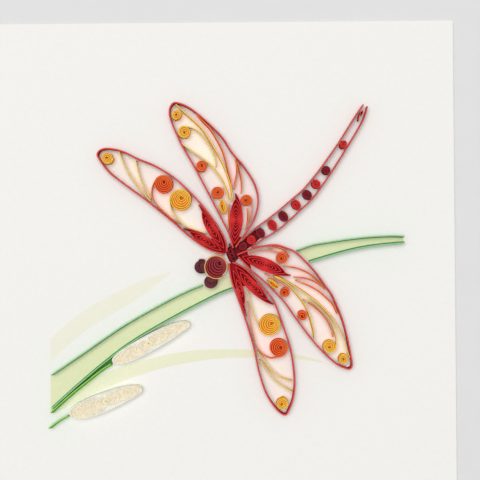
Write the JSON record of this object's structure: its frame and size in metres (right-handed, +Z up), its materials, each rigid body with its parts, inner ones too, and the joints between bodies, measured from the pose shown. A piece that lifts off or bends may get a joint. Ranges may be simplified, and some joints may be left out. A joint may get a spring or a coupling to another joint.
{
  "type": "quilled greeting card",
  "caption": "Square folded greeting card with a dragonfly, reed and cattails of rolled and standing paper strips glued on edge to its front.",
  "frame": {"origin": "centre of the closed card's back face, on the surface it lies on", "axes": "+Z up out of the front panel, +Y to the top of the picture, +X from the fold to the open edge"},
  "size_m": [0.1524, 0.1524, 0.0061],
  "materials": {
    "card_stock": "matt white card stock",
    "red_paper": "matt coral red quilling paper",
    "petal_red_paper": "matt bright red quilling paper",
    "dark_red_paper": "matt dark red quilling paper",
    "plum_paper": "matt plum quilling paper",
    "orange_paper": "matt orange quilling paper",
    "yellow_paper": "matt yellow quilling paper",
    "reed_green_paper": "matt sea green quilling paper",
    "stem_green_paper": "matt leaf green quilling paper",
    "cream_paper": "matt cream quilling paper"
  },
  "bodies": {
    "root": {"folded_card": "card_stock", "reed_upper_left_edge": "reed_green_paper", "reed_lower_left_edge": "reed_green_paper", "reed_upper_right_edge": "reed_green_paper", "reed_lower_right_edge": "reed_green_paper", "upper_stem": "stem_green_paper", "lower_stem": "stem_green_paper", "upper_cattail": "cream_paper", "lower_cattail": "cream_paper", "head": "dark_red_paper", "upper_eye_coil": "plum_paper", "lower_eye_coil": "plum_paper", "thorax": "dark_red_paper", "tail_upper_wall": "red_paper", "tail_lower_wall": "red_paper", "tail_tip": "petal_red_paper", "right_forewing_outline": "red_paper", "right_forewing_tip_coil": "yellow_paper", "right_forewing_orange_scroll": "orange_paper", "right_forewing_yellow_scroll": "yellow_paper", "right_forewing_vein_strips": "yellow_paper", "right_forewing_upper_petal": "petal_red_paper", "right_forewing_lower_petal": "petal_red_paper", "left_forewing_outline": "red_paper", "left_forewing_tip_coil": "yellow_paper", "left_forewing_orange_scroll": "orange_paper", "left_forewing_yellow_scroll": "yellow_paper", "left_forewing_vein_strips": "yellow_paper", "left_forewing_outer_petal": "petal_red_paper", "left_forewing_inner_petal": "petal_red_paper", "right_hindwing_outline": "red_paper", "right_hindwing_tip_coil": "yellow_paper", "right_hindwing_yellow_scroll": "yellow_paper", "right_hindwing_outer_coil": "orange_paper", "right_hindwing_inner_coil": "orange_paper", "right_hindwing_drop": "yellow_paper", "right_hindwing_orange_scroll": "orange_paper", "right_hindwing_yellow_strip": "yellow_paper", "right_hindwing_orange_strips": "orange_paper", "right_hindwing_petal": "petal_red_paper", "left_hindwing_outline": "red_paper", "left_hindwing_tip_coil": "yellow_paper", "left_hindwing_yellow_scroll": "yellow_paper", "left_hindwing_outer_coil": "orange_paper", "left_hindwing_inner_scroll": "orange_paper", "left_hindwing_drop": "yellow_paper", "left_hindwing_orange_scroll": "orange_paper", "left_hindwing_yellow_strip": "yellow_paper", "left_hindwing_orange_strips": "orange_paper", "left_hindwing_petal": "petal_red_paper", "tail_coil_1": "dark_red_paper", "tail_coil_2": "petal_red_paper", "tail_coil_3": "dark_red_paper", "tail_coil_4": "petal_red_paper", "tail_coil_5": "dark_red_paper", "tail_coil_6": "petal_red_paper", "tail_coil_7": "dark_red_paper", "tail_coil_8": "petal_red_paper", "tail_coil_9": "dark_red_paper", "tail_coil_10": "petal_red_paper"}
  },
  "joints": []
}
